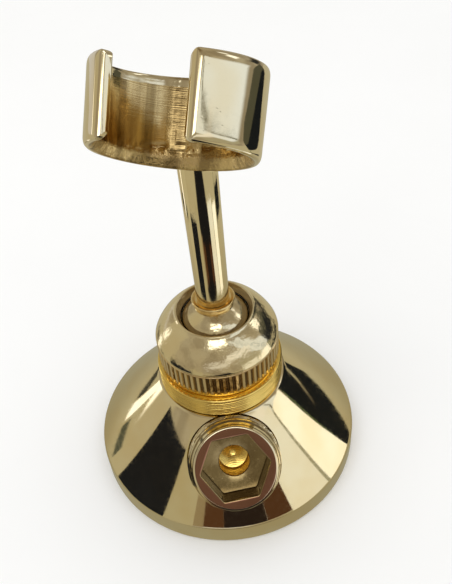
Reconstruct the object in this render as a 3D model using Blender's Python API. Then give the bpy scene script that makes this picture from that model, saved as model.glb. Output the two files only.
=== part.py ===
"""Wall bracket for a hand shower: conical flange with a water outlet, a swivel nut, a ball-jointed arm
and an open cup at the arm's end.

Metres, with the wall face of the flange in the plane Z = 0 and +Z pointing away from the wall. The
swivel axis is the Z axis. The outlet faces -Y. The pieces of the arm are modelled upright in the arm's
own frame, whose origin is the centre of the ball, and an empty leans that frame to its rest position.
"""

import math

import bmesh
import bpy
from mathutils import Euler, Matrix, Vector

MM = 0.001
GAP = 0.3 * MM  # clearance between neighbouring pieces

# Flange body: wall disc and cone.
FLANGE_RADIUS = 32.0 * MM
RIM_HEIGHT = 5.8 * MM
CONE_TOP_RADIUS = 14.85 * MM
CONE_TOP = 25.1 * MM
EDGE = 0.3 * MM  # chamfer that breaks the turned edges

# Ball housing, screwed into the cone: turned collar, male spigot for the swivel nut, ball chamber.
COLLAR_RADIUS = 14.6 * MM
COLLAR_BASE = CONE_TOP + GAP
COLLAR_TOP = 30.5 * MM
SPIGOT_RADIUS = 11.9 * MM
SPIGOT_TOP = 37.0 * MM
CHAMBER_RADIUS = 9.95 * MM
CHAMBER_FLOOR = 27.0 * MM
HOUSING_STUD_RADIUS = 8.0 * MM
HOUSING_STUD_BASE = 20.6 * MM

# Water inlet in the wall face, G 1/2 female.
INLET_RADIUS = 9.4 * MM
INLET_DEPTH = 10.5 * MM
WATERWAY_RADIUS = 5.5 * MM
WATERWAY_TOP = 18.5 * MM
CROSS_DRILL_RADIUS = 3.0 * MM
CROSS_DRILL_HEIGHT = 14.0 * MM

# Wall gasket groove in the flange's wall face.
GASKET_INNER = 25.3 * MM
GASKET_OUTER = 29.2 * MM
GASKET_THICKNESS = 1.5 * MM

# Outlet nipple, G 1/2 male, standing out of the cone.
OUTLET_ELEVATION = math.radians(44.0)
OUTLET_FACE = Vector((0.0, -27.0 * MM, 22.8 * MM))
THREAD_RADIUS = 10.48 * MM
THREAD_ROOT = 9.5 * MM
THREAD_PITCH = 1.814 * MM
FACE_RADIUS = 9.1 * MM
NIPPLE_LENGTH = 15.6 * MM
THREAD_TURNS = 5
SOCKET_FLATS = 13.5 * MM
SOCKET_DEPTH = 7.0 * MM
SOCKET_TURN = math.radians(4.0)
NIPPLE_BORE = 3.5 * MM
SEAL_THICKNESS = 1.2 * MM
BORE_DEPTH = 17.4 * MM

# Swivel nut.
NUT_RADIUS = 14.0 * MM
NUT_LIP_RADIUS = 14.15 * MM
NUT_BASE = COLLAR_TOP + GAP
KNURL_BASE = 32.4 * MM
KNURL_TOP = 37.3 * MM
KNURL_ROOT = 13.4 * MM
KNURL_TEETH = 60
LIP_TOP = 38.9 * MM
DOME_RADIUS = 15.2 * MM
DOME_CENTRE = 33.0 * MM
OPENING_RADIUS = 8.9 * MM
NUT_TOP = 45.6 * MM
SEAT_RIM_RADIUS = 7.7 * MM
SEAT_RIM_TOP = 44.0 * MM
CROWN_UNDERSIDE = 43.4 * MM

# Ball joint.
BALL_CENTRE = 38.6 * MM
BALL_RADIUS = 9.0 * MM
SEAT_SPHERE = BALL_RADIUS + GAP
BALL_NECK_RADIUS = 4.4 * MM
BALL_COLLAR_RADIUS = 4.9 * MM
BALL_COLLAR_TOP = 9.9 * MM
BALL_COLLAR_FLOOR = 9.2 * MM
STUD_HOLE_RADIUS = 2.9 * MM
ARM_LEAN = math.radians(4.0)  # back, towards +Y
ARM_SPIN = math.radians(-19.0)  # about the arm's own axis

# Arm rod, in the arm's frame.
ROD_RADIUS = 3.6 * MM
ROD_TOP_RADIUS = 4.0 * MM
ROD_TOP = 50.0 * MM  # before the saddle is cut
PEG_RADIUS = 2.0 * MM
PEG_TOP = 50.3 * MM

# Cup, an open ring whose axis leans away from the arm's axis.
CUP_LEAN = math.radians(40.9)
CUP_TURN = math.radians(-6.0)  # of the gap, about the ring's own axis
CUP_CENTRE = Vector((1.0 * MM, -10.6 * MM, 60.3 * MM))
CUP_RADIUS = 14.8 * MM
CUP_FLARE = 0.25 * MM  # the ring is this much wider at its top and narrower at its base
CUP_WALL = 2.3 * MM
CUP_HALF_LENGTH = 7.6 * MM
CUP_TOP_DROP = 1.3 * MM  # the top rim falls towards the gap
CUP_BASE_RISE = 0.25 * MM  # the lower rim rises towards the gap
CUP_GAP = math.radians(60.0)
CUP_EDGE = 0.9 * MM
CUP_CHAMFER = 1.9 * MM
CUP_OUTER_CHAMFER = 2.3 * MM


def clear_scene():
    for thing in list(bpy.data.objects):
        bpy.data.objects.remove(thing, do_unlink=True)


def material(name, colour, roughness, metallic):
    made = bpy.data.materials.new(name)
    made.use_nodes = True
    shader = made.node_tree.nodes["Principled BSDF"]
    shader.inputs["Base Color"].default_value = (*colour, 1.0)
    shader.inputs["Roughness"].default_value = roughness
    shader.inputs["Metallic"].default_value = metallic
    made.diffuse_color = (*colour, 1.0)
    return made


def empty(name, location=(0, 0, 0), rotation=(0, 0, 0), parent=None):
    made = bpy.data.objects.new(name, None)
    bpy.context.collection.objects.link(made)
    made.location = location
    made.rotation_euler = rotation
    made.parent = parent
    return made


def add_object(name, shape, finish=None, parent=None, location=(0, 0, 0), rotation=(0, 0, 0)):
    """Turn a bmesh into a smooth-shaded object with the given material and place."""
    bmesh.ops.recalc_face_normals(shape, faces=shape.faces)
    mesh = bpy.data.meshes.new(name)
    shape.to_mesh(mesh)
    shape.free()
    mesh.shade_smooth()
    mesh.set_sharp_from_angle(angle=math.radians(30))
    made = bpy.data.objects.new(name, mesh)
    bpy.context.collection.objects.link(made)
    made.parent = parent
    made.location = location
    made.rotation_euler = rotation
    if finish:
        mesh.materials.append(finish)
    return made


def turned(profile, segments, closed):
    """Spin a profile of (radius, height) points about Z; closed joins its last point to its first."""
    shape = bmesh.new()
    points = [shape.verts.new((radius, 0.0, height)) for radius, height in profile]
    pairs = list(zip(points, points[1:]))
    if closed:
        pairs.append((points[-1], points[0]))
    edges = [shape.edges.new(pair) for pair in pairs]
    bmesh.ops.spin(shape, geom=points + edges, cent=(0, 0, 0), axis=(0, 0, 1),
                   angle=math.tau, steps=segments, use_merge=True)
    bmesh.ops.remove_doubles(shape, verts=shape.verts, dist=1e-6)
    return shape


def cylinder(radius, base, top, segments):
    return turned([(0.0, base), (radius, base), (radius, top), (0.0, top)], segments, False)


def arc(centre_height, radius, start_height, end_height, steps):
    """Points on a turned sphere between two heights."""
    start = math.asin((start_height - centre_height) / radius)
    end = math.asin((end_height - centre_height) / radius)
    points = []
    for step in range(steps + 1):
        angle = start + (end - start) * step / steps
        points.append((radius * math.cos(angle), centre_height + radius * math.sin(angle)))
    return points


def cutter(name, shape, **place):
    made = add_object(name, shape, **place)
    made.hide_render = True
    made.display_type = "WIRE"
    return made


def boolean(target, tool, operation="DIFFERENCE"):
    step = target.modifiers.new(tool.name, "BOOLEAN")
    step.object = tool
    step.operation = operation
    step.solver = "EXACT"


def outlet_frame():
    """Empty at the centre of the outlet's face, with its Z axis along the outlet."""
    return empty("outlet_frame", OUTLET_FACE, (math.pi / 2 - OUTLET_ELEVATION, 0, 0))


def flange_body(brass, outlet):
    """Solid turned cone with a gasket groove, the threaded inlet, the waterway and the outlet's bore."""
    profile = [
        (0.0, WATERWAY_TOP),
        (WATERWAY_RADIUS, WATERWAY_TOP),
        (WATERWAY_RADIUS, INLET_DEPTH),
        (INLET_RADIUS, INLET_DEPTH),
        (INLET_RADIUS, 2 * EDGE),
        (INLET_RADIUS + 2 * EDGE, 0.0),
        (GASKET_INNER - GAP, 0.0),
        (GASKET_INNER - GAP, GASKET_THICKNESS + GAP),
        (GASKET_OUTER + GAP, GASKET_THICKNESS + GAP),
        (GASKET_OUTER + GAP, 0.0),
        (FLANGE_RADIUS - EDGE, 0.0),
        (FLANGE_RADIUS, EDGE),
        (FLANGE_RADIUS, RIM_HEIGHT - EDGE),
        (FLANGE_RADIUS - EDGE, RIM_HEIGHT),
        (CONE_TOP_RADIUS, CONE_TOP),
        (HOUSING_STUD_RADIUS + GAP, CONE_TOP),
        (HOUSING_STUD_RADIUS + GAP, HOUSING_STUD_BASE - GAP),
        (0.0, HOUSING_STUD_BASE - GAP),
    ]
    body = add_object("flange_body", turned(profile, 72, False), brass)
    bore = cylinder(THREAD_RADIUS + GAP, -BORE_DEPTH, 15 * MM, 48)
    boolean(body, cutter("nipple_bore", bore, parent=outlet))
    drill = cylinder(CROSS_DRILL_RADIUS, 0.0, 9 * MM, 20)
    boolean(body, cutter("cross_drill", drill, location=(0, -4 * MM, CROSS_DRILL_HEIGHT),
                         rotation=(math.pi / 2, 0, 0)))
    return body


def ball_housing(brass):
    """Collar, threaded stud below it and spigot above it, with the chamber that holds the lower seat."""
    profile = [
        (0.0, HOUSING_STUD_BASE),
        (HOUSING_STUD_RADIUS - EDGE, HOUSING_STUD_BASE),
        (HOUSING_STUD_RADIUS, HOUSING_STUD_BASE + EDGE),
        (HOUSING_STUD_RADIUS, COLLAR_BASE),
        (COLLAR_RADIUS - EDGE, COLLAR_BASE),
        (COLLAR_RADIUS, COLLAR_BASE + EDGE),
        (COLLAR_RADIUS, COLLAR_TOP - EDGE),
        (COLLAR_RADIUS - EDGE, COLLAR_TOP),
        (SPIGOT_RADIUS, COLLAR_TOP),
        (SPIGOT_RADIUS, SPIGOT_TOP - 2 * EDGE),
        (SPIGOT_RADIUS - 2 * EDGE, SPIGOT_TOP),
        (CHAMBER_RADIUS, SPIGOT_TOP),
        (CHAMBER_RADIUS, CHAMBER_FLOOR),
        (0.0, CHAMBER_FLOOR),
    ]
    return add_object("ball_housing", turned(profile, 48, False), brass)


def wall_gasket(rubber):
    ring = [(GASKET_INNER, 0.0), (GASKET_OUTER, 0.0), (GASKET_OUTER, GASKET_THICKNESS),
            (GASKET_INNER, GASKET_THICKNESS)]
    return add_object("wall_gasket", turned(ring, 48, True), rubber)


def inlet_washer(fibre):
    top = INLET_DEPTH - GAP
    ring = [(5.6 * MM, top - 1.6 * MM), (INLET_RADIUS - GAP, top - 1.6 * MM), (INLET_RADIUS - GAP, top),
            (5.6 * MM, top)]
    return add_object("inlet_washer", turned(ring, 32, True), fibre)


def inlet_screen(steel):
    """Flat strainer disc held inside the washer, with one hole in its centre and six around it."""
    thickness = 0.6 * MM
    height = INLET_DEPTH - 1.4 * MM
    disc = cylinder(5.2 * MM, 0.0, thickness, 32)
    screen = add_object("inlet_screen", disc, steel, location=(0, 0, height))
    for index in range(7):
        reach = 0.0 if index == 0 else 3.2 * MM
        angle = index * math.tau / 6
        hole = cylinder(1.0 * MM, -MM, 2 * MM, 10)
        place = (reach * math.cos(angle), reach * math.sin(angle), height)
        boolean(screen, cutter(f"screen_hole_{index}", hole, location=place))
    return screen


def outlet_nipple(brass, outlet):
    """Threaded nipple with a hexagon socket; the thread is a stack of rings at the real pitch."""
    profile = [(NIPPLE_BORE, -NIPPLE_LENGTH), (THREAD_ROOT, -NIPPLE_LENGTH),
               (THREAD_RADIUS, -NIPPLE_LENGTH + 1.0 * MM)]
    for turn in range(THREAD_TURNS):
        base = -1.4 * MM - (THREAD_TURNS - turn) * THREAD_PITCH
        profile.append((THREAD_RADIUS, base))
        profile.append((THREAD_ROOT, base + 0.8 * MM))
        profile.append((THREAD_ROOT, base + 1.0 * MM))
        profile.append((THREAD_RADIUS, base + THREAD_PITCH - 0.15 * MM))
    profile.append((FACE_RADIUS, 0.0))
    profile.append((NIPPLE_BORE, 0.0))
    nipple = add_object("outlet_nipple", turned(profile, 60, True), brass, parent=outlet)
    corner = SOCKET_FLATS / math.sqrt(3.0)
    socket = cylinder(corner, -SOCKET_DEPTH, 2 * MM, 6)
    boolean(nipple, cutter("hexagon_socket", socket, parent=outlet, rotation=(0, 0, SOCKET_TURN)))
    return nipple


def outlet_seal(rubber, outlet):
    top = -NIPPLE_LENGTH - GAP
    ring = [(6.2 * MM, top - SEAL_THICKNESS), (THREAD_ROOT, top - SEAL_THICKNESS), (THREAD_ROOT, top),
            (6.2 * MM, top)]
    return add_object("outlet_seal", turned(ring, 32, True), rubber, parent=outlet)


def wave_washer(steel):
    """Wavy steel ring that pushes the lower seat up against the ball."""
    inner, outer, thickness, amplitude = 6.0 * MM, 9.2 * MM, 0.5 * MM, 0.25 * MM
    middle = CHAMBER_FLOOR + 2 * GAP + thickness / 2
    ring = [(inner, -thickness / 2), (outer, -thickness / 2), (outer, thickness / 2),
            (inner, thickness / 2)]
    shape = turned(ring, 36, True)
    for point in shape.verts:
        point.co.z += amplitude * math.sin(3 * math.atan2(point.co.y, point.co.x))
    return add_object("wave_washer", shape, steel, location=(0, 0, middle))


def lower_seat(nylon):
    """Cup-shaped nylon seat under the ball."""
    base, top, drain, outer = 28.7 * MM, 34.8 * MM, 4.0 * MM, CHAMBER_RADIUS - GAP
    bowl_base = BALL_CENTRE - math.sqrt(SEAT_SPHERE ** 2 - drain ** 2)
    bowl = arc(BALL_CENTRE, SEAT_SPHERE, top, bowl_base, 6)
    profile = [(drain, base), (outer, base), (outer, top)] + bowl
    return add_object("lower_ball_seat", turned(profile, 40, True), nylon)


def upper_seat(nylon):
    """Nylon ring between the ball and the crown of the nut."""
    base, top = 40.0 * MM, CROWN_UNDERSIDE - GAP
    bowl = arc(BALL_CENTRE, SEAT_SPHERE, top, base, 4)
    profile = [(10.4 * MM, base), (9.3 * MM, top)] + bowl
    return add_object("upper_ball_seat", turned(profile, 40, True), nylon)


def swivel_nut(brass):
    dome_top = DOME_CENTRE + math.sqrt(DOME_RADIUS ** 2 - OPENING_RADIUS ** 2)
    knurl_rings = (KNURL_BASE + 0.3 * MM, KNURL_TOP - 0.3 * MM)
    profile = [
        (SPIGOT_RADIUS + GAP, NUT_BASE),
        (NUT_RADIUS - 0.5 * MM, NUT_BASE),
        (NUT_RADIUS, NUT_BASE + 0.5 * MM),
        (NUT_RADIUS, KNURL_BASE - 0.3 * MM),
        (KNURL_ROOT, KNURL_BASE),
        (KNURL_ROOT, knurl_rings[0]),
        (KNURL_ROOT, knurl_rings[1]),
        (KNURL_ROOT, KNURL_TOP),
        (NUT_LIP_RADIUS, KNURL_TOP + 0.5 * MM),
    ]
    profile += arc(DOME_CENTRE, DOME_RADIUS, LIP_TOP, dome_top, 7)
    profile += [
        (OPENING_RADIUS - 0.35 * MM, NUT_TOP),
        (SEAT_RIM_RADIUS, SEAT_RIM_TOP),
        (SEAT_RIM_RADIUS, SEAT_RIM_TOP - 0.4 * MM),
        (SEAT_RIM_RADIUS + 0.4 * MM, CROWN_UNDERSIDE),
        (9.6 * MM, CROWN_UNDERSIDE),
        (10.7 * MM, 39.7 * MM),
        (SPIGOT_RADIUS + GAP, 38.4 * MM),
    ]
    shape = turned(profile, 2 * KNURL_TEETH, True)
    step = math.tau / (2 * KNURL_TEETH)
    for point in shape.verts:
        on_tooth = round(math.atan2(point.co.y, point.co.x) / step) % 2 == 0
        in_knurl = any(abs(point.co.z - height) < 1e-6 for height in knurl_rings)
        if on_tooth and in_knurl and abs(point.co.xy.length - KNURL_ROOT) < 1e-6:
            point.co.xy *= NUT_RADIUS / KNURL_ROOT
    return add_object("swivel_nut", shape, brass)


def swivel_ball(brass, arm):
    waist = math.sqrt(BALL_RADIUS ** 2 - BALL_NECK_RADIUS ** 2)
    profile = [(0.0, -BALL_RADIUS)] + arc(0.0, BALL_RADIUS, -BALL_RADIUS, waist, 14)[1:]
    profile += [
        (BALL_NECK_RADIUS, waist + 0.5 * MM),
        (BALL_COLLAR_RADIUS, BALL_COLLAR_TOP - 0.2 * MM),
        (BALL_COLLAR_RADIUS - 0.3 * MM, BALL_COLLAR_TOP),
        (ROD_RADIUS + 0.4 * MM, BALL_COLLAR_FLOOR),
        (STUD_HOLE_RADIUS, BALL_COLLAR_FLOOR),
        (STUD_HOLE_RADIUS, 1.5 * MM),
        (0.0, 1.5 * MM),
    ]
    return add_object("swivel_ball", turned(profile, 44, False), brass, parent=arm)


def arm_rod(brass, arm, cup_place):
    """Rod with a threaded stud in the ball, and a saddle and peg that meet the cup."""
    foot = BALL_COLLAR_FLOOR + GAP
    stud = STUD_HOLE_RADIUS - GAP
    profile = [(0.0, foot - 7 * MM), (stud, foot - 7 * MM), (stud, foot), (ROD_RADIUS - EDGE, foot),
               (ROD_RADIUS, foot + EDGE), (ROD_TOP_RADIUS, ROD_TOP), (ROD_TOP_RADIUS, ROD_TOP + 8 * MM),
               (0.0, ROD_TOP + 8 * MM)]
    rod = add_object("arm_rod", turned(profile, 36, False), brass, parent=arm)
    reach = 2 * CUP_HALF_LENGTH
    slope = CUP_FLARE / CUP_HALF_LENGTH * reach
    saddle = turned([(0.0, -reach), (CUP_RADIUS + GAP - slope, -reach),
                     (CUP_RADIUS + GAP + slope, reach), (0.0, reach)], 96, False)
    boolean(rod, cutter("saddle", saddle, **cup_place))
    peg = cylinder(PEG_RADIUS, PEG_TOP - 8 * MM, PEG_TOP, 20)
    boolean(rod, cutter("peg", peg, parent=arm), "UNION")
    return rod


def cup_section(angle):
    """Wall outline (radius, height) of the ring at an angle from the middle of its gap."""
    top = CUP_HALF_LENGTH - CUP_TOP_DROP * math.cos(angle)
    base = -CUP_HALF_LENGTH + CUP_BASE_RISE * math.cos(angle)
    inner = CUP_RADIUS - CUP_WALL
    return [
        (CUP_RADIUS - CUP_FLARE - 1.0 * MM, base),
        (CUP_RADIUS - 0.5 * CUP_FLARE, base + CUP_OUTER_CHAMFER),
        (CUP_RADIUS + CUP_FLARE, top),
        (inner + CUP_FLARE, top),
        (inner - CUP_FLARE, base + CUP_CHAMFER),
        (inner - CUP_FLARE + 0.9 * MM, base),
    ]


def cup(brass, arm, place):
    """Open ring, swept through the angle that the gap leaves, with a blind hole for the rod's peg."""
    shape = bmesh.new()
    steps = 44
    rings = []
    for step in range(steps + 1):
        angle = CUP_GAP / 2 + (math.tau - CUP_GAP) * step / steps
        rings.append([shape.verts.new((radius * math.sin(angle), -radius * math.cos(angle), height))
                      for radius, height in cup_section(angle)])
    for first, second in zip(rings, rings[1:]):
        for corner in range(len(first)):
            after = (corner + 1) % len(first)
            shape.faces.new((first[corner], first[after], second[after], second[corner]))
    shape.faces.new(rings[0])
    shape.faces.new(rings[-1])
    ring = add_object("cup", shape, brass, **place)
    edges = ring.modifiers.new("edges", "BEVEL")
    edges.width = CUP_EDGE
    edges.segments = 2
    edges.limit_method = "ANGLE"
    edges.angle_limit = math.radians(20)
    hole = cylinder(PEG_RADIUS + GAP, PEG_TOP - 8 * MM, PEG_TOP + GAP, 20)
    boolean(ring, cutter("peg_hole", hole, parent=arm))
    return ring


def main():
    clear_scene()
    polished = material("polished_gold", (0.83, 0.66, 0.33), 0.10, 1.0)
    turned_gold = material("turned_gold", (0.84, 0.62, 0.26), 0.22, 1.0)
    cast_gold = material("cast_gold", (0.76, 0.60, 0.30), 0.18, 1.0)
    rubber = material("black_rubber", (0.03, 0.03, 0.03), 0.70, 0.0)
    nylon = material("white_nylon", (0.82, 0.82, 0.78), 0.45, 0.0)
    fibre = material("red_fibre", (0.45, 0.10, 0.07), 0.80, 0.0)
    steel = material("stainless_steel", (0.62, 0.62, 0.62), 0.30, 1.0)

    outlet = outlet_frame()
    lean = Euler((-ARM_LEAN, 0, 0)).to_matrix() @ Matrix.Rotation(ARM_SPIN, 3, "Z")
    arm = empty("arm_frame", (0, 0, BALL_CENTRE), lean.to_euler())
    cup_turn = Matrix.Rotation(-CUP_LEAN, 3, "X") @ Matrix.Rotation(CUP_TURN, 3, "Z")
    cup_place = {"parent": arm, "location": CUP_CENTRE, "rotation": cup_turn.to_euler()}

    flange_body(polished, outlet)
    ball_housing(turned_gold)
    wall_gasket(rubber)
    inlet_washer(fibre)
    inlet_screen(steel)
    outlet_nipple(turned_gold, outlet)
    outlet_seal(rubber, outlet)
    wave_washer(steel)
    lower_seat(nylon)
    upper_seat(nylon)
    swivel_nut(polished)
    swivel_ball(polished, arm)
    arm_rod(polished, arm, cup_place)
    cup(cast_gold, arm, cup_place)


main()
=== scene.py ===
"""Looks of the hand shower wall bracket: polished gold-plated brass on a pale floor under studio light."""

import math

import bmesh
import bpy
from mathutils import Matrix, Vector, noise


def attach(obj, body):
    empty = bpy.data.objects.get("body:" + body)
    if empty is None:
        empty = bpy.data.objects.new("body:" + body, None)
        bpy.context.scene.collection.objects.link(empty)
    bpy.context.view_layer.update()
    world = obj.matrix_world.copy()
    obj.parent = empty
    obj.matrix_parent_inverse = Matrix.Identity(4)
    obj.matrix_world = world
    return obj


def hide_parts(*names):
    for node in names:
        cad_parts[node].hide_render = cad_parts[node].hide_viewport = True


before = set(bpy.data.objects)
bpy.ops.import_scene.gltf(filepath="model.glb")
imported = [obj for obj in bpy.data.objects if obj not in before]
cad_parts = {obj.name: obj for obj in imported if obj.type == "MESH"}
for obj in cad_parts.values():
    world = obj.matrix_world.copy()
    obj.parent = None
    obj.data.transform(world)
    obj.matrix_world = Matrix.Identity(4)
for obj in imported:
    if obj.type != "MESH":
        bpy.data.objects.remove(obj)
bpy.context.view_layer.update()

MM = 0.001
DEGREES = 57.29578

# sizes in millimetres
THREAD_PITCH = 1.814
THREAD_ROOT = 9.45
THREAD_CREST = 10.48
NIPPLE_LENGTH = 15.6
SOCKET_ACROSS = 13.5
KNURL_TEETH = 60
DOME_RADIUS = 15.2
DOME_CENTRE = 33.0
OPENING_RADIUS = 8.9
BALL_RADIUS = 9.0
BALL_NECK = 4.4
CUP_HALF_LENGTH = 7.6
CUP_TOP_DROP = 1.3
CUP_BASE_RISE = 0.25

CUP_HALF_GAP = math.radians(30.0)
SHARP_EDGE = 35.0   # degrees

BALL = Vector((0.0, 0.0, 38.6 * MM))
OUTLET_ELEVATION = math.radians(44.0)
OUTLET_FACE = Vector((0.0, -27.0 * MM, 22.8 * MM))
OUTLET_PLACE = (Matrix.Translation(OUTLET_FACE)
                @ Matrix.Rotation(math.pi / 2 - OUTLET_ELEVATION, 4, "X"))
ARM_PLACE = (Matrix.Translation(BALL) @ Matrix.Rotation(math.radians(-4.0), 4, "X")
             @ Matrix.Rotation(math.radians(-19.0), 4, "Z"))
CUP_PLACE = (ARM_PLACE @ Matrix.Translation(Vector((1.0, -10.6, 60.3)) * MM)
             @ Matrix.Rotation(math.radians(-40.9), 4, "X") @ Matrix.Rotation(math.radians(-6.0), 4, "Z"))


# ---------------------------------------------------------------- mesh tools

def grid_object(name, rows, materials, close_rows=False, close_columns=True, place=None, pick=None,
                sharp=SHARP_EDGE):
    """Make a mesh from rows of points; the columns may close on themselves, and so may the rows."""
    columns = len(rows[0])
    points = [point for row in rows for point in row]
    faces = []
    slots = []
    count = len(rows)
    for index in range(count if close_rows else count - 1):
        low = index * columns
        high = ((index + 1) % count) * columns
        for column in range(columns if close_columns else columns - 1):
            after = (column + 1) % columns
            faces.append((low + column, low + after, high + after, high + column))
            slots.append(pick(index, column) if pick else 0)
    mesh = bpy.data.meshes.new(name)
    mesh.from_pydata(points, [], faces)
    for made in materials:
        mesh.materials.append(made)
    mesh.polygons.foreach_set("material_index", slots)
    return finish_mesh(name, mesh, place, sharp)


def finish_mesh(name, mesh, place, sharp):
    """Merge doubles, face outwards, shade smooth between sharp edges, and link the object."""
    shape = bmesh.new()
    shape.from_mesh(mesh)
    bmesh.ops.remove_doubles(shape, verts=shape.verts, dist=2e-6)
    bmesh.ops.dissolve_degenerate(shape, edges=shape.edges, dist=1e-7)
    bmesh.ops.recalc_face_normals(shape, faces=shape.faces)
    if place is not None:
        shape.transform(place)
    shape.to_mesh(mesh)
    shape.free()
    mesh.shade_smooth()
    mesh.set_sharp_from_angle(angle=math.radians(sharp))
    made = bpy.data.objects.new(name, mesh)
    bpy.context.scene.collection.objects.link(made)
    return made


def turned(name, profile, segments, materials, place=None, closed=False, pick=None, sharp=SHARP_EDGE):
    """Spin a list of (radius, height) in metres about Z."""
    rows = []
    for radius, height in profile:
        row = []
        for index in range(segments):
            angle = math.tau * index / segments
            row.append((radius * math.cos(angle), radius * math.sin(angle), height))
        rows.append(row)
    return grid_object(name, rows, materials, closed, True, place, pick, sharp)


def rounded(points, radius, steps=4):
    """Round the corners of a (radius, height) outline; the first and last points stay."""
    result = [points[0]]
    for before, corner, after in zip(points, points[1:], points[2:]):
        corner = Vector(corner)
        back = Vector(before) - corner
        ahead = Vector(after) - corner
        reach = min(radius, back.length * 0.45, ahead.length * 0.45)
        start = corner + back.normalized() * reach
        end = corner + ahead.normalized() * reach
        for step in range(steps + 1):
            part = step / steps
            point = (1 - part) ** 2 * start + 2 * part * (1 - part) * corner + part ** 2 * end
            result.append(tuple(point))
    result.append(points[-1])
    return result


def filled(points, length):
    """Add points along an outline so that no step is longer than length."""
    result = [points[0]]
    for before, after in zip(points, points[1:]):
        before = Vector(before)
        after = Vector(after)
        count = max(1, math.ceil((after - before).length / length))
        for step in range(1, count + 1):
            result.append(tuple(before.lerp(after, step / count)))
    return result


def arc(centre, radius, start_height, end_height, steps):
    """Points of a circle about a centre on the axis, from one height to another."""
    start = math.asin((start_height - centre) / radius)
    end = math.asin((end_height - centre) / radius)
    points = []
    for step in range(steps + 1):
        angle = start + (end - start) * step / steps
        points.append((radius * math.cos(angle), centre + radius * math.sin(angle)))
    return points


def mm(points):
    return [(radius * MM, height * MM) for radius, height in points]


def cut(target, tool, operation="DIFFERENCE"):
    """Apply a Boolean with another object and remove that object."""
    step = target.modifiers.new("cut", "BOOLEAN")
    step.object = tool
    step.operation = operation
    step.solver = "EXACT"
    step.material_mode = "TRANSFER"
    bpy.context.view_layer.update()
    graph = bpy.context.evaluated_depsgraph_get()
    mesh = bpy.data.meshes.new_from_object(target.evaluated_get(graph))
    target.modifiers.clear()
    old = target.data
    target.data = mesh
    bpy.data.meshes.remove(old)
    bpy.data.objects.remove(tool, do_unlink=True)
    mesh.name = target.name
    mesh.shade_smooth()
    mesh.set_sharp_from_angle(angle=math.radians(SHARP_EDGE))


# ---------------------------------------------------------------- materials

class Nodes:
    """Short ways to add and link shader nodes."""

    def __init__(self, made):
        self.tree = made.node_tree

    def add(self, kind, **settings):
        node = self.tree.nodes.new(kind)
        for key, value in settings.items():
            setattr(node, key, value)
        return node

    def link(self, source, target):
        self.tree.links.new(source, target)

    def value(self, target, source):
        if isinstance(source, (int, float)):
            target.default_value = source
        else:
            self.link(source, target)

    def math(self, operation, first, second=0.0, clamp=False):
        node = self.add("ShaderNodeMath", operation=operation, use_clamp=clamp)
        self.value(node.inputs[0], first)
        self.value(node.inputs[1], second)
        return node.outputs[0]

    def remap(self, source, low, high, to_low=0.0, to_high=1.0, smooth=True):
        node = self.add("ShaderNodeMapRange", interpolation_type="SMOOTHSTEP" if smooth else "LINEAR")
        self.link(source, node.inputs["Value"])
        node.inputs["From Min"].default_value = low
        node.inputs["From Max"].default_value = high
        node.inputs["To Min"].default_value = to_low
        node.inputs["To Max"].default_value = to_high
        return node.outputs[0]

    def mix(self, factor, first, second, blend="MIX"):
        node = self.add("ShaderNodeMix", data_type="RGBA", blend_type=blend)
        self.value(node.inputs[0], factor)
        for socket, source in ((node.inputs[6], first), (node.inputs[7], second)):
            if isinstance(source, tuple):
                socket.default_value = (*source, 1.0)
            else:
                self.link(source, socket)
        return node.outputs[2]

    def position(self, scale=(1.0, 1.0, 1.0)):
        """Object-space position in millimetres, stretched by scale."""
        coordinates = self.add("ShaderNodeTexCoord")
        mapping = self.add("ShaderNodeMapping")
        mapping.inputs["Scale"].default_value = [1000.0 * part for part in scale]
        self.link(coordinates.outputs["Object"], mapping.inputs["Vector"])
        return mapping.outputs["Vector"]

    def noise(self, vector, scale, detail=3.0, roughness=0.55):
        node = self.add("ShaderNodeTexNoise")
        self.link(vector, node.inputs["Vector"])
        node.inputs["Scale"].default_value = scale
        node.inputs["Detail"].default_value = detail
        node.inputs["Roughness"].default_value = roughness
        return node.outputs["Fac"]

    def bump(self, height, strength, distance, normal=None):
        node = self.add("ShaderNodeBump")
        node.inputs["Strength"].default_value = strength
        node.inputs["Distance"].default_value = distance
        self.link(height, node.inputs["Height"])
        if normal is not None:
            self.link(normal, node.inputs["Normal"])
        return node.outputs["Normal"]


def new_material(name):
    made = bpy.data.materials.new(name)
    made.use_nodes = True
    return made, Nodes(made), made.node_tree.nodes["Principled BSDF"]


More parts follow.
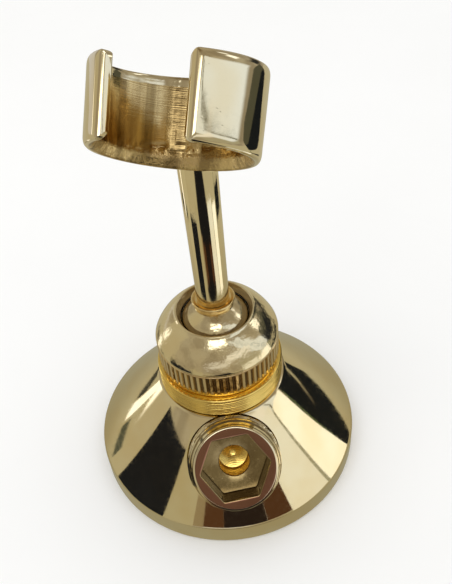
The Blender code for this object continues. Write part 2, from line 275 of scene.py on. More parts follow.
def gold(name, colour=(0.86, 0.75, 0.50), deep=(0.80, 0.62, 0.32), low=0.035, high=0.11, pits=0.0,
         scratches=0.05, lines=0.0, cast=0.0, peel=0.0, roots=None, bore=False):
    """Gold-plated brass: polished, with faint waves, fine scratches and duller, redder worn patches; edges
    get a painted highlight and creases painted shade.

    roots paints shade into groove bottoms round an axis: (point in metres, axis, deepest and highest radius
    in mm).
    bore is for the cup's inside: painted shade in bands along the ring's axis, fine rows round it, grit low
    down.
    """
    made, nodes, shader = new_material(name)
    place = nodes.position()
    broad = nodes.noise(place, 0.09, 2.0)
    fine = nodes.noise(place, 1.3, 4.0)
    worn = nodes.remap(broad, 0.35, 0.68)
    geometry = nodes.add("ShaderNodeNewGeometry")
    # painted highlight: convex edges, found by pointiness, get a lighter colour
    edge = nodes.remap(geometry.outputs["Pointiness"], 0.53, 0.62)
    tint = nodes.mix(nodes.math("MULTIPLY", worn, 0.45), colour, deep)
    tint = nodes.mix(nodes.math("MULTIPLY", edge, 0.5), tint, tuple(min(1.0, c * 1.12) for c in colour))
    # painted shade: hollows, found by pointiness, are darkened towards the deep colour
    painted_crevice_shade = nodes.remap(geometry.outputs["Pointiness"], 0.40, 0.48, 1.0, 0.0)
    tint = nodes.mix(nodes.math("MULTIPLY", painted_crevice_shade, 0.55), tint, tuple(c * 0.55 for c in deep))
    if roots:
        origin, axis, deepest, highest = roots
        arm = nodes.add("ShaderNodeVectorMath", operation="SUBTRACT")
        nodes.link(place, arm.inputs[0])
        arm.inputs[1].default_value = origin * 1000.0
        swept = nodes.add("ShaderNodeVectorMath", operation="CROSS_PRODUCT")
        nodes.link(arm.outputs[0], swept.inputs[0])
        swept.inputs[1].default_value = axis
        radius = nodes.add("ShaderNodeVectorMath", operation="LENGTH")
        nodes.link(swept.outputs[0], radius.inputs[0])
        # painted shade: groove bottoms near the deepest radius are darkened to brown
        painted_groove_shade = nodes.remap(radius.outputs["Value"], deepest, highest, 0.88, 0.0)
        tint = nodes.mix(painted_groove_shade, tint, (0.16, 0.10, 0.045))
    nodes.link(tint, shader.inputs["Base Color"])
    shader.inputs["Metallic"].default_value = 1.0
    stroke = nodes.noise(nodes.position((0.35, 0.35, 5.0)), 2.2, 5.0, 0.7)
    rough = nodes.remap(fine, 0.35, 0.72, low, high)
    rough = nodes.math("ADD", rough, nodes.remap(stroke, 0.55, 0.75, 0.0, scratches))
    height = nodes.math("MULTIPLY", broad, 0.35)
    height = nodes.math("ADD", height, nodes.math("MULTIPLY", stroke, 0.004 + scratches * 0.1))
    normal = nodes.bump(height, 0.25, 0.0006)
    if lines:
        wave = nodes.add("ShaderNodeTexWave", wave_type="BANDS", bands_direction="Z")
        nodes.link(nodes.position(), wave.inputs["Vector"])
        wave.inputs["Scale"].default_value = lines
        wave.inputs["Distortion"].default_value = 0.6
        wave.inputs["Detail"].default_value = 2.0
        wave.inputs["Detail Scale"].default_value = 1.5
        normal = nodes.bump(wave.outputs["Fac"], 0.2, 0.00003, normal)
        rough = nodes.math("ADD", rough, 0.04)
    if cast:
        grit = nodes.noise(place, 1.6, 6.0, 0.68)
        lumps = nodes.noise(place, 0.55, 3.0, 0.5)
        both = nodes.math("ADD", nodes.math("MULTIPLY", grit, 0.7), lumps)
        normal = nodes.bump(both, min(1.0, cast), 0.0005, normal)
        rough = nodes.math("ADD", rough, nodes.remap(grit, 0.4, 0.7, 0.02, 0.14))
    if bore:
        axis = CUP_PLACE.to_3x3() @ Vector((0, 0, 1))
        across = nodes.add("ShaderNodeVectorMath", operation="DOT_PRODUCT")
        nodes.link(place, across.inputs[0])
        across.inputs[1].default_value = axis
        along = nodes.math("SUBTRACT", across.outputs["Value"], axis.dot(CUP_PLACE.translation) * 1000.0)
        lift = nodes.add("ShaderNodeVectorMath", operation="SCALE")
        lift.inputs[0].default_value = axis
        nodes.link(across.outputs["Value"], lift.inputs["Scale"])
        flat = nodes.add("ShaderNodeVectorMath", operation="SUBTRACT")
        nodes.link(place, flat.inputs[0])
        nodes.link(lift.outputs[0], flat.inputs[1])
        # painted shade: dark bands along the cup's axis on its inside
        bands = nodes.noise(flat.outputs[0], 0.32, 3.0)
        shade = nodes.remap(bands, 0.42, 0.60)
        tint = nodes.mix(nodes.math("MULTIPLY", shade, 0.75), tint, tuple(c * 0.42 for c in deep))
        nodes.link(tint, shader.inputs["Base Color"])
        rows = nodes.add("ShaderNodeTexNoise", noise_dimensions="1D")
        nodes.link(along, rows.inputs["W"])
        rows.inputs["Scale"].default_value = 4.5
        rows.inputs["Detail"].default_value = 4.0
        normal = nodes.bump(rows.outputs["Fac"], 0.25, 0.00007, normal)
        low_part = nodes.remap(along, -6.2, -3.8, 1.0, 0.0)
        grit = nodes.noise(place, 1.5, 4.0, 0.6)
        normal = nodes.bump(nodes.math("MULTIPLY", grit, low_part), 0.55, 0.00035, normal)
    if peel:
        skin = nodes.noise(place, 0.75, 2.0, 0.5)
        normal = nodes.bump(skin, peel, 0.00008, normal)
    if pits:
        cells = nodes.add("ShaderNodeTexVoronoi")
        nodes.link(place, cells.inputs["Vector"])
        cells.inputs["Scale"].default_value = 0.8
        hole = nodes.remap(cells.outputs["Distance"], 0.05, 0.16)
        normal = nodes.bump(hole, pits, 0.0001, normal)
    nodes.link(rough, shader.inputs["Roughness"])
    nodes.link(normal, shader.inputs["Normal"])
    return made


def dull(name, colour, dark, rough_low, rough_high, grain, depth, metallic=0.0):
    """Rubber, nylon, fibre and steel: two tones, grain and bump."""
    made, nodes, shader = new_material(name)
    place = nodes.position()
    speck = nodes.noise(place, grain, 5.0, 0.6)
    broad = nodes.noise(place, grain * 0.12, 2.0)
    blend = nodes.math("ADD", nodes.math("MULTIPLY", speck, 0.6), nodes.math("MULTIPLY", broad, 0.4))
    nodes.link(nodes.mix(nodes.remap(blend, 0.35, 0.65), dark, colour), shader.inputs["Base Color"])
    nodes.link(nodes.remap(speck, 0.35, 0.65, rough_low, rough_high), shader.inputs["Roughness"])
    nodes.link(nodes.bump(speck, 0.6, depth), shader.inputs["Normal"])
    shader.inputs["Metallic"].default_value = metallic
    return made


polished = gold("polished_gold")
UP = Vector((0, 0, 1))
bright_gold = gold("bright_gold", colour=(0.95, 0.74, 0.38), deep=(0.92, 0.64, 0.26), low=0.08, high=0.16)
# the roots setting paints shade into the knurl's groove bottoms
knurl_gold = gold("knurl_gold", colour=(0.82, 0.65, 0.38), deep=(0.76, 0.54, 0.27), low=0.10, high=0.18,
                  roots=(Vector((0, 0, 0)), UP, 13.38, 13.92))
dome_gold = gold("dome_gold", low=0.11, high=0.18, scratches=0.08, peel=0.9)
turned_gold = gold("turned_gold", colour=(0.95, 0.70, 0.21), deep=(0.90, 0.58, 0.12), low=0.14, high=0.21,
                   lines=1.4)
thread_gold = gold("thread_gold", colour=(0.88, 0.78, 0.56), deep=(0.80, 0.64, 0.38), low=0.06, high=0.12,
                   scratches=0.04)
# painted shade: a dark brown gold for the thread roots and one flank
painted_root_shade_gold = gold("thread_root_gold", colour=(0.34, 0.26, 0.14), deep=(0.20, 0.14, 0.06), low=0.16, high=0.26)
# painted shade: a dark gold for the inner cone of the nut's mouth
mouth_shade_gold = gold("mouth_shade_gold", colour=(0.42, 0.35, 0.25), deep=(0.30, 0.22, 0.13), low=0.12, high=0.20)
# painted reflection: the faced end is coloured dark reddish brown, as the dark things in front of it look in
# the metal
face_reflection_gold = gold("face_reflection_gold", colour=(0.31, 0.155, 0.10), deep=(0.24, 0.11, 0.07), low=0.08, high=0.14,
                 scratches=0.10)
# a duller finish, with painted shade: the hexagon socket is coloured dark olive brown
socket_shade_gold = gold("socket_shade_gold", colour=(0.34, 0.26, 0.125), deep=(0.20, 0.135, 0.055), low=0.09, high=0.16,
                   cast=0.02)
cup_outer = gold("cup_outer_gold", colour=(0.86, 0.77, 0.55), low=0.03, high=0.09, scratches=0.05, pits=0.03)
# the bore setting paints shade in bands along the cup's inside
cup_inner = gold("cup_inner_gold", colour=(0.78, 0.60, 0.30), deep=(0.62, 0.42, 0.17), low=0.09, high=0.15,
                 bore=True)
rubber = dull("black_rubber", (0.035, 0.035, 0.034), (0.016, 0.016, 0.016), 0.55, 0.78, 1.5, 0.0001)
nylon = dull("white_nylon", (0.80, 0.79, 0.73), (0.66, 0.65, 0.58), 0.35, 0.55, 0.8, 0.00005)
fibre = dull("red_fibre", (0.46, 0.10, 0.06), (0.24, 0.05, 0.03), 0.7, 0.9, 2.4, 0.0002)
steel = dull("stainless_steel", (0.66, 0.66, 0.66), (0.46, 0.46, 0.47), 0.18, 0.36, 1.1, 0.00005, 1.0)

for node, made in (("inlet_washer", fibre), ("inlet_screen", steel), ("outlet_seal", rubber),
                   ("wave_washer", steel), ("lower_ball_seat", nylon), ("upper_ball_seat", nylon)):
    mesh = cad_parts[node].data
    mesh.materials.clear()
    mesh.materials.append(made)


def piece(made, body, node):
    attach(made, body)
    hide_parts(node)
    return made


# ---------------------------------------------------------------- flange body

def female_thread(radius, base, top, depth=0.9):
    """Outline of a cut thread seen in section, as rings at the pitch."""
    points = [(radius, base)]
    height = base + 0.4
    while height + THREAD_PITCH < top:
        points += [(radius, height), (radius + depth, height + 0.75), (radius + depth, height + 0.95),
                   (radius, height + 1.6)]
        height += THREAD_PITCH
    points.append((radius, top))
    return points


def build_flange():
    hole = female_thread(9.4, 0.9, 10.5)
    hole.reverse()
    inside = [(0.01, 18.5), (5.5, 18.5), (5.5, 10.5), (9.4, 10.5)] + hole + [(10.0, 0.0)]
    groove = [(10.0, 0.0), (25.0, 0.0), (25.0, 1.8), (29.5, 1.8), (29.5, 0.0), (31.5, 0.0)]
    rim = rounded([(31.5, 0.0), (32.0, 0.35), (32.0, 5.35), (31.7, 5.8), (14.85, 25.1), (8.3, 25.1)], 0.45, 5)
    stud = [(8.3, 20.3), (0.01, 20.3)]
    outline = filled(inside, 2.0) + filled(groove, 2.0)[1:] + filled(rim, 0.9)[1:] + filled(stud, 2.0)
    body = turned("flange_body_shell", mm(outline), 240, [polished])
    blind_hole = [(0.001, -17.3), (1.2, -16.9), (3.8, -15.85), (10.78, -15.85), (10.78, 15.0), (0.001, 15.0)]
    bore = turned("bore", mm(blind_hole), 96, [turned_gold], OUTLET_PLACE)
    cut(body, bore)
    place = Matrix.Translation(Vector((0, -4, 14)) * MM) @ Matrix.Rotation(math.pi / 2, 4, "X")
    drill = turned("drill", mm([(0.001, 0.0), (3.0, 0.0), (3.0, 9.0), (0.001, 9.0)]), 48,
                   [turned_gold], place)
    cut(body, drill)
    return piece(body, "base", "flange_body")


# ---------------------------------------------------------------- ball housing

def build_housing():
    outline = [(0.01, 20.6), (7.7, 20.6), (8.0, 20.9), (8.0, 25.4), (14.3, 25.4), (14.6, 25.65)]
    height = 25.9
    while height < 30.0:
        outline += [(14.6, height), (14.42, height + 0.14), (14.42, height + 0.22), (14.6, height + 0.36)]
        height += 0.6
    outline += [(14.6, 30.25), (14.3, 30.5), (11.9, 30.5)]
    height = 31.0
    while height < 35.6:
        outline += [(11.9, height), (11.4, height + 0.4), (11.4, height + 0.5), (11.9, height + 0.9)]
        height += 1.0
    outline += [(11.9, 36.4), (11.3, 37.0), (9.95, 37.0), (9.95, 27.0), (0.01, 27.0)]
    made = turned("ball_housing_turned", mm(rounded(outline, 0.06, 2)), 192, [turned_gold], sharp=50.0)
    return piece(made, "base", "ball_housing")


def build_gasket():
    outline = [(25.3, 0.15), (25.3, 1.35), (25.45, 1.5), (29.05, 1.5), (29.2, 1.35), (29.2, 0.15),
               (29.0, 0.0), (28.4, 0.0), (28.1, 0.22), (27.55, 0.22), (27.25, 0.0), (26.95, 0.22),
               (26.4, 0.22), (26.1, 0.0), (25.5, 0.0)]
    made = turned("wall_gasket_ribbed", mm(outline), 144, [rubber], closed=True, sharp=60.0)
    return piece(made, "base", "wall_gasket")


# ---------------------------------------------------------------- outlet nipple

def build_nipple():
    """Helical G 1/2 thread, faced end, hexagon socket with a deburred edge, and the bore."""
    columns = 240
    turn = math.radians(4.0)

    def thread(angle, height):
        phase = (height / THREAD_PITCH - angle / math.tau) % 1.0
        slope = abs(phase - 0.5) * 2.0
        shape = min(1.0, max(0.0, (slope - 0.16) / 0.62))
        radius = THREAD_ROOT + (THREAD_CREST - THREAD_ROOT) * shape
        face = 9.2 + max(0.0, -height) * 0.33
        tail = 9.5 + max(0.0, height + NIPPLE_LENGTH)
        return min(radius, face, tail)

    def hexagon(angle, across):
        """Reach of a hexagon with its corners at the turn angle and every 60 degrees from it."""
        folded = ((angle - turn) % (math.pi / 3)) - math.pi / 6
        return min(across / 2 / math.cos(folded), across / math.sqrt(3.0) - 0.12)

    angles = [turn + math.tau * index / columns for index in range(columns)]
    rows = []
    steps = 118
    for step in range(steps + 1):
        height = -NIPPLE_LENGTH + (NIPPLE_LENGTH - 0.15) * step / steps
        rows.append([(thread(a, height), height, a) for a in angles])
    rows.append([(9.02, -0.02, a) for a in angles])
    rows.append([(8.85, 0.0, a) for a in angles])
    for part in (0.25, 0.5, 0.75):
        rows.append([(8.85 + (hexagon(a, SOCKET_ACROSS) + 0.22 - 8.85) * part, 0.0, a) for a in angles])
    face_rows = len(rows)
    rows.append([(hexagon(a, SOCKET_ACROSS) + 0.22, 0.0, a) for a in angles])
    rows.append([(hexagon(a, SOCKET_ACROSS) + 0.04, -0.07, a) for a in angles])
    rows.append([(hexagon(a, SOCKET_ACROSS), -0.25, a) for a in angles])
    for step in range(1, 10):
        rows.append([(hexagon(a, SOCKET_ACROSS), -0.25 - 6.6 * step / 9, a) for a in angles])
    rows.append([(hexagon(a, SOCKET_ACROSS) - 0.12, -7.0, a) for a in angles])
    for part in (0.3, 0.6, 0.9):
        rows.append([(hexagon(a, 13.3) + (4.0 - hexagon(a, 13.3)) * part, -7.0 - 0.25 * part, a)
                     for a in angles])
    rows.append([(3.6, -7.35, a) for a in angles])
    bore_rows = len(rows)
    rows.append([(3.5, -7.5, a) for a in angles])
    height = -8.0
    while height > -15.0:
        rows.append([(3.5, height, a) for a in angles])
        rows.append([(3.62, height - 0.25, a) for a in angles])
        rows.append([(3.5, height - 0.5, a) for a in angles])
        height -= 0.8
    rows.append([(3.5, -NIPPLE_LENGTH, a) for a in angles])
    points = [[(r * MM * math.cos(a), r * MM * math.sin(a), z * MM) for r, z, a in row] for row in rows]

    def pick(row, column):
        if row < steps:
            height = -NIPPLE_LENGTH + (NIPPLE_LENGTH - 0.15) * (row + 0.5) / steps
            phase = (height / THREAD_PITCH - angles[column] / math.tau) % 1.0
            # slot 4 paints shade on the thread roots and one flank
            return 4 if 0.17 < phase < 0.48 else 0
        if row < steps + 2:
            return 0
        # slot 1 carries the painted reflection on the faced end
        if row < face_rows:
            return 1
        # slot 2 carries the socket's painted shade
        return 3 if row > bore_rows else 2

    made = grid_object("outlet_nipple_threaded", points,
                       [thread_gold, face_reflection_gold, socket_shade_gold, turned_gold, painted_root_shade_gold], True, True,
                       OUTLET_PLACE, pick, 40.0)
    return piece(made, "base", "outlet_nipple")


# ---------------------------------------------------------------- swivel nut

def build_nut():
    """Domed nut whose ten segments to a tooth make one ridge and one groove of the knurl."""
    segments = KNURL_TEETH * 10
    dome_top = DOME_CENTRE + math.sqrt(DOME_RADIUS ** 2 - OPENING_RADIUS ** 2)
    knurl = [(13.8, 32.0), (14.0, 32.3), (14.0, 33.4), (14.0, 34.8), (14.0, 36.2), (14.0, 37.6), (14.0, 37.9)]
    depth = [0.42, 0.6, 0.62, 0.62, 0.62, 0.62, 0.6]
    top = arc(DOME_CENTRE, DOME_RADIUS, 39.3, dome_top - 0.15, 22)
    lower = rounded([(12.2, 30.8), (13.1, 30.8), (13.36, 31.05), (13.38, 31.9)], 0.1, 3)
    lip = rounded([(14.0, 38.0), (13.72, 38.15), (13.98, 38.5), (14.0, 38.85), top[0]], 0.15, 3)
    mouth = rounded([top[-1], (8.82, 45.55), (8.55, 45.6), (7.72, 44.05), (7.7, 43.7), (8.1, 43.4),
                     (9.6, 43.4), (10.7, 39.7), (12.2, 38.4)], 0.12, 3)
    outline = lower + knurl + lip + top[1:] + mouth[1:]
    first = len(lower)
    rows = []
    for index, (radius, height) in enumerate(outline):
        sunk = depth[index - first] if first <= index < first + len(depth) else 0.0
        row = []
        for segment in range(segments):
            angle = math.tau * segment / segments
            across = abs(segment % 10 - 5)
            groove = (1.0, 0.96, 0.72, 0.0, 0.0, 0.0)[across]
            crown = 0.04 * max(0.0, 1.0 - ((5 - across) / 3.0) ** 2) if sunk else 0.0
            reach = radius - sunk * groove - crown
            row.append((reach * MM * math.cos(angle), reach * MM * math.sin(angle), height * MM))
        rows.append(row)
    undercut_rows = 3
    edge_rows = 8
    dome = first + len(knurl) + undercut_rows
    rim = len(outline) - len(mouth) + edge_rows

    def pick(row, column):
        if row < first:
            return 3
        if row < dome:
            return 1
        # rows from rim onward take the painted shade of the mouth's inner cone
        return 2 if row >= rim else 0

    made = grid_object("swivel_nut_knurled", rows, [dome_gold, knurl_gold, mouth_shade_gold, turned_gold],
                       True, True, None, pick, 40.0)
    return piece(made, "nut", "swivel_nut")


# ---------------------------------------------------------------- ball and rod

def build_ball():
    """Ball with a flared, funnelled collar round the foot of the rod."""
    steps = 60
    waist = math.sqrt(BALL_RADIUS ** 2 - BALL_NECK ** 2)
    outline = arc(0.0, BALL_RADIUS, -BALL_RADIUS, waist, steps)
    outline[0] = (0.001, -BALL_RADIUS)
    collar = [outline[-1], (BALL_NECK, 8.35), (4.9, 9.7), (4.75, 9.9), (4.6, 9.9), (4.0, 9.4), (2.9, 9.4),
              (2.9, 1.5), (0.001, 1.5)]
    outline += rounded(collar, 0.25, 4)[1:]
    made = turned("swivel_ball_polished", mm(outline), 128, [dome_gold, bright_gold], ARM_PLACE,
                  pick=lambda row, column: 1 if row > steps else 0)
    return piece(made, "ball", "swivel_ball")


def build_rod():
    outline = [(0.001, 2.5), (2.3, 2.5), (2.6, 2.8), (2.6, 9.5), (3.35, 9.5), (3.6, 9.75)]
    outline += filled([(3.6, 9.75), (3.98, 48.9), (4.0, 58.0)], 1.0)[1:]
    outline.append((0.001, 58.0))
    made = turned("arm_rod_polished", mm(outline), 96, [polished], ARM_PLACE)
    reach = 15.2
    slope = 0.25 / CUP_HALF_LENGTH * reach
    saddle = turned("saddle", mm([(0.001, -reach), (15.1 - slope, -reach), (15.1 + slope, reach),
                                  (0.001, reach)]), 192, [polished], CUP_PLACE)
    cut(made, saddle)
    peg = turned("peg", mm([(0.001, 42.3), (2.0, 42.3), (2.0, 50.2), (0.001, 50.2)]), 32, [polished],
                 ARM_PLACE)
    cut(made, peg, "UNION")
    return piece(made, "arm", "arm_rod")


# ---------------------------------------------------------------- cup

def resample(outline, count):
    """The same outline with exactly count points, evenly spaced."""
    lengths = [0.0]
    for before, after in zip(outline, outline[1:]):
        lengths.append(lengths[-1] + (Vector(after) - Vector(before)).length)
    result = []
    place = 0
    for index in range(count):
        target = lengths[-1] * index / (count - 1)
        while place < len(outline) - 2 and lengths[place + 1] < target:
            place += 1
        size = lengths[place + 1] - lengths[place]
        part = 0.0 if size < 1e-12 else (target - lengths[place]) / size
        result.append(tuple(Vector(outline[place]).lerp(Vector(outline[place + 1]), min(1.0, part))))
    return result


def cup_top(angle):
    """Height of the top rim, which falls towards the gap."""
    return CUP_HALF_LENGTH - CUP_TOP_DROP * math.cos(angle)


def cup_base(angle):
    """Height of the lower rim, which rises towards the gap."""
    return -CUP_HALF_LENGTH + CUP_BASE_RISE * math.cos(angle)


def ring_section(angle):
    """Rounded wall outline at an angle from the middle of the gap, in ring radius and height."""
    top = cup_top(angle)
    base = cup_base(angle)
    corners = [(14.3, base, 0.35), (14.7, base + 0.75, 0.8), (15.05, top, 1.7), (12.75, top, 0.5),
               (12.25, base + 1.9, 0.5), (13.3, base, 0.35)]
    outline = []
    count = len(corners)
    for index, (x, z, size) in enumerate(corners):
        corner = Vector((x, z))
        back = Vector(corners[index - 1][:2]) - corner
        ahead = Vector(corners[(index + 1) % count][:2]) - corner
        start = corner + back.normalized() * min(size, back.length * 0.48)
        end = corner + ahead.normalized() * min(size, ahead.length * 0.48)
        for step in range(7):
            part = step / 6
            outline.append(tuple((1 - part) ** 2 * start + 2 * part * (1 - part) * corner + part ** 2 * end))
    outline.append(outline[0])
    return resample(outline, 121)[:-1]


def quarter(distance, radius):
    """How far a rounded edge of this radius has dropped at a distance from the end."""
    if distance >= radius:
        return 0.0
    return radius - math.sqrt(radius ** 2 - (radius - distance) ** 2)


def cast_point(x, z, turn):
    """Cast lumps and reamer marks on the bore, and only faint waves outside."""
    base = cup_base(turn)
    inside = max(0.0, min(1.0, (13.7 - x) / 0.6))
    at = Vector((x * math.sin(turn), -x * math.cos(turn), z))
    reach = x + 0.02 * noise.noise(at * 0.18) * (1.0 - inside)
    if inside > 0.0:
        low = max(0.0, min(1.0, (base + 4.6 - z) / 2.0))
        grain = noise.fractal(at * 0.6, 1.0, 2.0, 4) * (0.012 + 0.09 * low)
        reamed = 0.006 * math.sin(z * 9.0 + 1.4 * noise.noise(at * 0.5))
        beads = 0.5 + 0.5 * math.sin(z * 5.2 + 1.2 * noise.noise(at * 0.9))
        strip = math.exp(-((turn - math.radians(186.0)) / 0.105) ** 4)
        seam = math.exp(-((turn - math.radians(203.0)) / 0.028) ** 2)
        ridge = math.exp(-((z - base - 3.9 - 0.6 * noise.noise(at * 0.35)) / 0.33) ** 2)
        ridge *= max(0.0, noise.noise(at * 0.5) + 0.35) * (1.0 if 150 < math.degrees(turn) < 230 else 0.2)
        change = grain + reamed + strip * (0.14 * beads + 0.05 * noise.noise(at * 3.0))
        change += seam * (0.03 + 0.03 * noise.noise(at * 2.2)) + 0.26 * ridge
        reach -= inside * max(-0.12, min(0.22, change))
    return (reach * MM * math.sin(turn), -reach * MM * math.cos(turn), z * MM)


def build_cup():
    """Cast ring with a polished, well rounded outside and a reamed, partly rough inside."""
    start = CUP_HALF_GAP
    wall_middle = 13.6
    ends = [0.0, 0.03, 0.12, 0.27, 0.48, 0.75, 1.08, 1.45, 1.85, 2.3]
    angles = [start + distance / wall_middle for distance in ends]
    steps = 300
    first = angles[-1]
    last = math.tau - first
    middle = [first + (last - first) * step / steps for step in range(1, steps)]
    angles = angles + middle + [math.tau - angle for angle in reversed(angles)]
    rows = []
    for angle in angles:
        distance = (min(angle, math.tau - angle) - start) * wall_middle
        top = cup_top(angle)
        base = cup_base(angle)
        outer_drop = quarter(distance, 1.6)
        edge_drop = quarter(distance, 1.3)
        inner_drop = quarter(distance, 0.4)
        row = []
        for x, z in ring_section(angle):
            x = min(x, 14.9 + 0.02 * z - outer_drop) if outer_drop else x
            x = max(x, 12.5 + 0.03 * z + inner_drop) if inner_drop else x
            z = min(max(z, base + edge_drop), top - edge_drop)
            row.append(cast_point(x, z, angle))
        rows.append(row)
    sample = ring_section(math.pi)
    rough = set()
    for column, (x, z) in enumerate(sample):
        if x < 12.95 and z < 7.2 or x < 13.6 and z < -5.0:
            rough.add(column)

    def pick(row, column):
        return 1 if column in rough and 6 < row < len(rows) - 8 else 0

    made = grid_object("cup_cast", rows, [cup_outer, cup_inner], False, True, None, pick, 50.0)
    shape = bmesh.new()
    shape.from_mesh(made.data)
    open_edges = [edge for edge in shape.edges if edge.is_boundary]
    bmesh.ops.holes_fill(shape, edges=open_edges, sides=0)
    bmesh.ops.recalc_face_normals(shape, faces=shape.faces)
    shape.transform(CUP_PLACE)
    shape.to_mesh(made.data)
    shape.free()
    made.data.shade_smooth()
    hole = turned("peg_hole", mm([(0.001, 42.3), (2.3, 42.3), (2.3, 50.5), (0.001, 50.5)]), 32,
                  [cup_inner], ARM_PLACE)
    cut(made, hole)
    return piece(made, "arm", "cup")


build_flange()
build_housing()
build_gasket()
build_nipple()
build_nut()
build_ball()
build_rod()
build_cup()


# ---------------------------------------------------------------- camera

def add_camera():
    elevation = math.radians(44.8)
    azimuth = math.radians(-2.54)
    roll = math.radians(-5.75)
    target = Vector((2.935, 0.0, 49.95)) * MM
    back = Vector((math.sin(azimuth) * math.cos(elevation), -math.cos(azimuth) * math.cos(elevation),
                   math.sin(elevation)))
    right = Vector((0, 0, 1)).cross(back).normalized()
    up = back.cross(right)
    across = math.cos(roll) * right + math.sin(roll) * up
    upward = -math.sin(roll) * right + math.cos(roll) * up
    spot = target + 162.83 * MM * back
    lens = bpy.data.cameras.new("camera")
    lens.lens = 46.2
    lens.sensor_width = 36.0
    lens.sensor_fit = "AUTO"
    lens.clip_start = 0.001
    lens.clip_end = 50.0
    made = bpy.data.objects.new("camera", lens)
    bpy.context.scene.collection.objects.link(made)
    made.matrix_world = Matrix(((across.x, upward.x, back.x, spot.x), (across.y, upward.y, back.y, spot.y),
                                (across.z, upward.z, back.z, spot.z), (0, 0, 0, 1)))
    bpy.context.scene.camera = made


# ---------------------------------------------------------------- floor, surroundings and light

def emission(name, colour):
    made = bpy.data.materials.new(name)
    made.use_nodes = True
    nodes = Nodes(made)
    made.node_tree.nodes.clear()
    light = nodes.add("ShaderNodeEmission")
    light.inputs["Color"].default_value = (*colour, 1.0)
    light.inputs["Strength"].default_value = 1.0
    out = nodes.add("ShaderNodeOutputMaterial")
    nodes.link(light.outputs[0], out.inputs["Surface"])
    return made, nodes, light


def only_reflected(made):
    """Reflector cards are seen in the polished metal, and nowhere else."""
    made.visible_camera = False
    made.visible_diffuse = False
    made.visible_shadow = False
    made.visible_transmission = False
    made.visible_volume_scatter = False


def card(name, start, end, low, high, radius, colour):
    """Upright curved card about the swivel axis; angles in degrees clockwise from +Y seen from above."""
    made = emission(name, colour)[0]
    steps = max(2, int(abs(end - start) / 3))
    rows = []
    for height in (low, high):
        row = []
        for step in range(steps + 1):
            angle = math.radians(start + (end - start) * step / steps)
            row.append((radius * MM * math.sin(angle), radius * MM * math.cos(angle), height * MM))
        rows.append(row)
    only_reflected(grid_object(name, rows, [made], False, False))


def add_floor():
    size = 1.2
    count = 24
    rows = []
    for row in range(count + 1):
        rows.append([((column / count - 0.5) * 2 * size, (row / count - 0.5) * 2 * size, -0.0001)
                     for column in range(count + 1)])
    made, nodes, shader = new_material("pale_floor")
    shade = nodes.noise(nodes.position(), 0.02, 3.0)
    nodes.link(nodes.mix(shade, (0.90, 0.90, 0.895), (0.93, 0.93, 0.925)), shader.inputs["Base Color"])
    shader.inputs["Roughness"].default_value = 0.75
    floor = grid_object("floor", rows, [made], False, False)
    floor.visible_glossy = False
    # the table as the metal shows it: cream, with painted shade darker close to the foot, and a near-black
    # patch in front
    made, nodes, light = emission("table_reflector", (0.45, 0.42, 0.30))
    place = nodes.position()
    split = nodes.add("ShaderNodeSeparateXYZ")
    nodes.link(place, split.inputs[0])
    length = nodes.add("ShaderNodeVectorMath", operation="LENGTH")
    nodes.link(place, length.inputs[0])
    # painted shade: the reflected table darkens towards the foot
    away = nodes.remap(length.outputs["Value"], 38.0, 95.0)
    tone = nodes.mix(away, (0.36, 0.335, 0.235), (0.50, 0.46, 0.33))
    front = nodes.remap(split.outputs["Y"], -66.0, -58.0, 1.0, 0.0)
    side = nodes.remap(nodes.math("ABSOLUTE", split.outputs["X"]), 50.0, 62.0, 1.0, 0.0)
    tone = nodes.mix(nodes.math("MULTIPLY", front, side), tone, (0.012, 0.012, 0.014))
    nodes.link(tone, light.inputs["Color"])
    rows = [[(point[0] * 0.27, point[1] * 0.27, -0.00005) for point in row] for row in rows]
    only_reflected(grid_object("table_reflector", rows, [made], False, False))


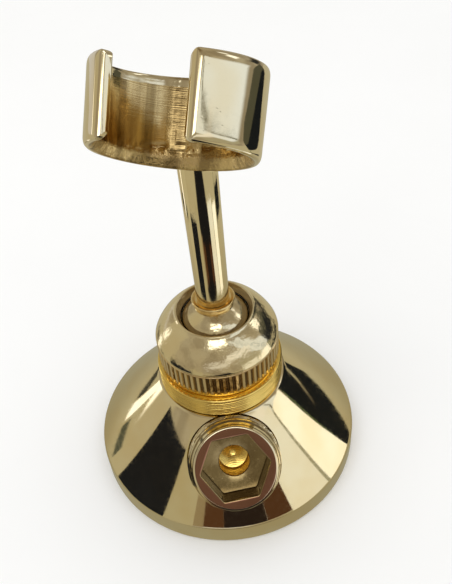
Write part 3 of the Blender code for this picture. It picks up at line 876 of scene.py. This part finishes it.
def add_world():
    """Plain pale surroundings for the camera and the soft light; a beige room with lamps for the gloss."""
    world = bpy.data.worlds.new("studio")
    world.use_nodes = True
    bpy.context.scene.world = world
    nodes = Nodes(world)
    tree = world.node_tree
    plain = tree.nodes["Background"]
    plain.inputs["Color"].default_value = (0.97, 0.97, 0.965, 1.0)
    plain.inputs["Strength"].default_value = 1.06
    direction = nodes.add("ShaderNodeTexCoord").outputs["Generated"]
    split = nodes.add("ShaderNodeSeparateXYZ")
    nodes.link(direction, split.inputs[0])
    turn = nodes.math("ARCTAN2", split.outputs["X"], split.outputs["Y"])
    turn = nodes.math("ADD", nodes.math("MULTIPLY", turn, DEGREES), 360.0)
    turn = nodes.math("FLOORED_MODULO", turn, 360.0)
    rise = nodes.math("MULTIPLY", nodes.math("ARCSINE", split.outputs["Z"]), DEGREES)
    soft = nodes.noise(direction, 2.2, 2.0)

    def patch(base, start, end, low, high, colour, edge=2.0, slant=0.0):
        """Rectangle of light in degrees; slant moves it round by that much for each degree of height."""
        middle = (start + end) / 2
        half = (end - start) / 2
        across = nodes.math("SUBTRACT", turn, middle)
        if slant:
            across = nodes.math("SUBTRACT", across,
                                nodes.math("MULTIPLY", nodes.math("SUBTRACT", rise, (low + high) / 2), slant))
        across = nodes.remap(nodes.math("ABSOLUTE", across), half - edge, half + edge, 1.0, 0.0)
        up = nodes.math("ABSOLUTE", nodes.math("SUBTRACT", rise, (low + high) / 2))
        up = nodes.remap(up, (high - low) / 2 - edge, (high - low) / 2 + edge, 1.0, 0.0)
        return nodes.mix(nodes.math("MULTIPLY", across, up), base, colour)

    colour = nodes.mix(nodes.remap(soft, 0.35, 0.65), (0.30, 0.26, 0.195), (0.44, 0.40, 0.31))
    colour = nodes.mix(nodes.remap(rise, 55.0, 80.0), colour, (0.20, 0.15, 0.09))
    colour = patch(colour, 262, 303, -40, 60, (0.50, 0.455, 0.33), 3.0)
    colour = patch(colour, 34, 66, -8, 6, (0.03, 0.03, 0.03), 4.0, 0.6)
    colour = patch(colour, 95, 150, -10, 12, (0.42, 0.40, 0.30), 2.5)
    colour = patch(colour, 107, 133, -2, 48, (0.88, 0.95, 1.06), 2.5, 1.0)
    colour = patch(colour, 119.4, 121.4, -2, 48, (0.20, 0.20, 0.16), 0.6, 1.0)
    colour = patch(colour, 124, 172, 17, 28, (0.95, 0.95, 0.96), 4.0)
    colour = patch(colour, 302, 345, -22, 0, (0.62, 0.60, 0.58), 3.0)
    colour = patch(colour, 168, 202, 8, 18, (0.8, 0.8, 0.82), 5.0, -1.4)
    colour = patch(colour, 74, 90, 20, 33, (1.5, 1.5, 1.5), 2.5)
    colour = patch(colour, 60, 73, 33, 42, (1.2, 1.2, 1.2), 2.5)
    colour = patch(colour, 292, 299, -12, 8, (1.6, 1.6, 1.6), 2.0)
    colour = patch(colour, 160, 206, 45, 57, (2.6, 2.6, 2.5), 2.5)
    room = nodes.add("ShaderNodeBackground")
    nodes.link(colour, room.inputs["Color"])
    path = nodes.add("ShaderNodeLightPath")
    mixed = nodes.add("ShaderNodeMixShader")
    nodes.link(path.outputs["Is Glossy Ray"], mixed.inputs[0])
    nodes.link(plain.outputs[0], mixed.inputs[1])
    nodes.link(room.outputs[0], mixed.inputs[2])
    nodes.link(mixed.outputs[0], tree.nodes["World Output"].inputs["Surface"])


def add_cards():
    """Upright reflectors round the foot, at three distances; only the metal shows them."""
    near = 60
    reach = 100
    wide = 150
    card("card_right_dark_low", 58, 93.4, -2, 14, reach, (0.010, 0.012, 0.015))
    card("card_right_black", 58, 93.6, 13, 58, wide, (0.010, 0.012, 0.015))
    card("card_right_olive", 58, 93.6, 58, 86, wide, (0.085, 0.085, 0.060))
    card("card_right_green", 93.4, 95, -2, 36, reach, (0.10, 0.14, 0.075))
    card("card_right_white", 100, 122.3, 4, 37, near, (1.25, 1.25, 1.22))
    card("card_right_slit", 122.3, 124.6, 4, 37, near + 1, (0.38, 0.38, 0.30))
    card("card_right_pale", 124.6, 150.5, 6, 40, near, (0.92, 0.93, 0.90))
    card("card_front_brown", 150.5, 165.3, 12, 26, near, (0.085, 0.040, 0.020))
    card("card_front_dark", 165.3, 190, 12, 26, near + 1, (0.020, 0.013, 0.011))
    card("card_front_red", 190, 201.6, 12, 26, near, (0.090, 0.042, 0.020))
    card("card_front_tan", 201.6, 207.2, 10, 30, near, (0.30, 0.24, 0.15))
    card("card_left_cream", 207.2, 224.6, 6, 39, near, (0.46, 0.42, 0.29))
    card("card_left_black", 224.6, 260, 2, 33, near, (0.012, 0.013, 0.017))
    card("card_left_grey", 278, 290, -2, 5, reach, (0.09, 0.10, 0.08))
    card("card_left_white", 292, 299, -2, 24, reach, (1.5, 1.5, 1.5))
    card("card_left_shadow", 300, 317, -2, 7, reach, (0.06, 0.06, 0.05))


def area(name, place, target, width, height, power):
    """Soft rectangular lamp that the gloss doesn't show."""
    light = bpy.data.lights.new(name, "AREA")
    light.shape = "RECTANGLE"
    light.size = width
    light.size_y = height
    light.energy = power
    made = bpy.data.objects.new(name, light)
    bpy.context.scene.collection.objects.link(made)
    made.location = place
    made.rotation_euler = (Vector(target) - Vector(place)).to_track_quat("-Z", "Y").to_euler()
    made.visible_glossy = False


add_camera()
add_floor()
add_world()
add_cards()
area("key_light", (-0.35, -0.25, 0.6), (0, 0, 0.05), 0.5, 0.5, 0.6)

bpy.context.scene.view_settings.view_transform = "Standard"
